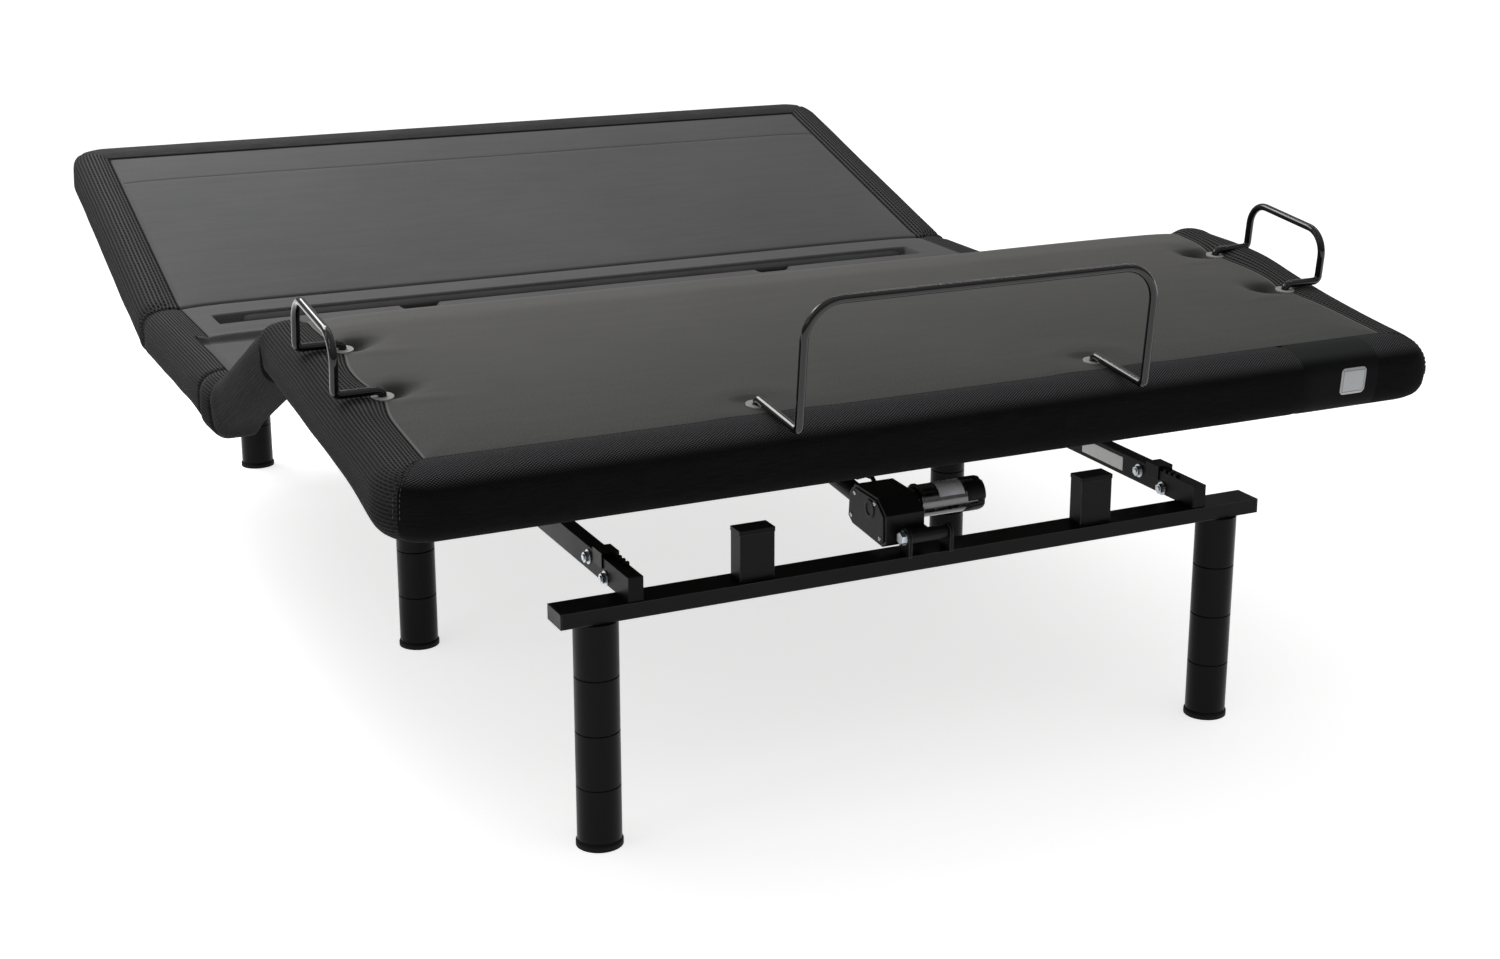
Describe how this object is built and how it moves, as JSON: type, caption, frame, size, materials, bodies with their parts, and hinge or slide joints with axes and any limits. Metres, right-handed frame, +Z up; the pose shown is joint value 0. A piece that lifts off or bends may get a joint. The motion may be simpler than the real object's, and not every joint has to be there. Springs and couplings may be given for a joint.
{
  "type": "adjustable bed base",
  "caption": "Adjustable bed base on legs with a lifting head section and linked thigh and foot sections, padded deck and mattress retainer bars.",
  "frame": {"origin": "centre of the footprint of everything the part carries, on the floor", "axes": "+X across the bed to the right seen from the foot end, +Y towards the head end, +Z up"},
  "size_m": [1.5, 2.0308, 0.7139],
  "materials": {
    "steel_black": "satin powder coat",
    "plastic_black": "satin",
    "rubber_black": "matte",
    "zinc": "zinc plated",
    "label": "blank paper label",
    "plywood": "dark-stained plywood",
    "cover_grey": "smooth non-woven cover over foam",
    "cover_mesh": "ribbed knit mesh over foam",
    "rod_gloss": "gloss",
    "grommet": "satin",
    "roller_white": "satin",
    "actuator_black": "satin",
    "motor_dark": "satin"
  },
  "bodies": {
    "base": {"foot_crossbar": "steel_black", "middle_crossbar": "steel_black", "head_crossbar": "steel_black", "tube_caps": "plastic_black", "left_rail": "steel_black", "right_rail": "steel_black", "rail_clips": "plastic_black", "rail_bolts": "zinc", "rail_label": "label", "rest_posts": "steel_black", "post_caps": "plastic_black", "foot_legs": "plastic_black", "middle_legs": "plastic_black", "head_legs": "plastic_black", "leg_glides": "rubber_black", "leg_studs": "zinc", "standoffs": "steel_black", "arm_bearings": "steel_black", "link_brackets": "steel_black", "hinge_pins": "zinc", "actuator_clevises": "steel_black", "clevis_pins": "zinc", "control_box": "plastic_black", "power_inlet": "plastic_black", "seat_side_tubes": "steel_black", "seat_cross_tubes": "steel_black", "seat_board": "plywood", "seat_foam": "cover_grey", "seat_rim_foam": "cover_mesh", "seat_channel_bar": "cover_mesh"},
    "head": {"head_side_tubes": "steel_black", "head_cross_tubes": "steel_black", "head_board": "plywood", "head_foam": "cover_grey", "head_rim_foam": "cover_mesh"},
    "thigh": {"thigh_side_tubes": "steel_black", "thigh_cross_straps": "steel_black", "thigh_board": "plywood", "thigh_foam": "cover_grey", "thigh_rim_foam": "cover_mesh", "knee_pins": "zinc"},
    "foot": {"foot_side_tubes": "steel_black", "foot_cross_straps": "steel_black", "foot_board": "plywood", "foot_foam": "cover_grey", "foot_rim_foam": "cover_mesh", "foot_retainer": "rod_gloss", "side_retainers": "rod_gloss", "grommets": "grommet"},
    "lift_arm": {"lift_arm": "steel_black"},
    "left_roller": {"left_roller": "roller_white"},
    "right_roller": {"right_roller": "roller_white"},
    "foot_links": {"foot_links": "steel_black"},
    "leg_actuator": {"leg_actuator": "actuator_black", "leg_motor": "motor_dark", "motor_lead": "rubber_black"},
    "leg_rod": {"leg_rod": "zinc"},
    "head_actuator": {"head_actuator": "actuator_black", "head_motor": "motor_dark"},
    "head_rod": {"head_rod": "zinc"}
  },
  "joints": [
    {"name": "head_hinge", "type": "hinge", "parent": "base", "child": "head", "pos_m": [0, 0.40324, 0.417], "axis": [1, 0, 0], "range_deg": [-16.6, 43.4]},
    {"name": "thigh_hinge", "type": "hinge", "parent": "base", "child": "thigh", "pos_m": [0, -0.08376, 0.417], "axis": [-1, 0, 0], "range_deg": [-26, 10]},
    {"name": "knee_hinge", "type": "hinge", "parent": "thigh", "child": "foot", "pos_m": [0, -0.41721, 0.57964], "axis": [1, 0, 0], "range_deg": [-32.1, 12.4]},
    {"name": "lift_arm_hinge", "type": "hinge", "parent": "base", "child": "lift_arm", "pos_m": [0, -0.19376, 0.338], "axis": [-1, 0, 0], "range_deg": [-35.5, 13.7]},
    {"name": "left_roller_spin", "type": "hinge", "parent": "lift_arm", "child": "left_roller", "pos_m": [-0.358, -0.36545, 0.47555], "axis": [1, 0, 0], "continuous": true},
    {"name": "right_roller_spin", "type": "hinge", "parent": "lift_arm", "child": "right_roller", "pos_m": [0.358, -0.36545, 0.47555], "axis": [1, 0, 0], "continuous": true},
    {"name": "foot_link_hinge", "type": "hinge", "parent": "base", "child": "foot_links", "pos_m": [0, -0.29056, 0.3776], "axis": [-1, 0, 0], "range_deg": [-28.5, 11]},
    {"name": "leg_actuator_pivot", "type": "hinge", "parent": "base", "child": "leg_actuator", "pos_m": [-0.032, -0.86966, 0.345], "axis": [1, 0, 0], "range_deg": [-3, 1]},
    {"name": "leg_rod_slide", "type": "slide", "parent": "leg_actuator", "child": "leg_rod", "axis": [0, 0.9959, 0.09], "range_m": [-0.0375, 0.0145]},
    {"name": "head_actuator_pivot", "type": "hinge", "parent": "base", "child": "head_actuator", "pos_m": [0.15, -0.09716, 0.345], "axis": [1, 0, 0], "range_deg": [-1, 1]},
    {"name": "head_rod_slide", "type": "slide", "parent": "head_actuator", "child": "head_rod", "axis": [0, 0.9997, -0.0231], "range_m": [-0.0236, 0.0615]}
  ],
  "couplings": [
    {"joint": "knee_hinge", "follows": "thigh_hinge", "ratio": 1.2308},
    {"joint": "lift_arm_hinge", "follows": "thigh_hinge", "ratio": 1.36},
    {"joint": "foot_link_hinge", "follows": "thigh_hinge", "ratio": 1.09},
    {"joint": "leg_actuator_pivot", "follows": "thigh_hinge", "ratio": 0.066},
    {"joint": "leg_rod_slide", "follows": "thigh_hinge", "m_per_rad": 0.082},
    {"joint": "head_actuator_pivot", "follows": "head_hinge", "ratio": 0.01},
    {"joint": "head_rod_slide", "follows": "head_hinge", "m_per_rad": 0.081}
  ]
}
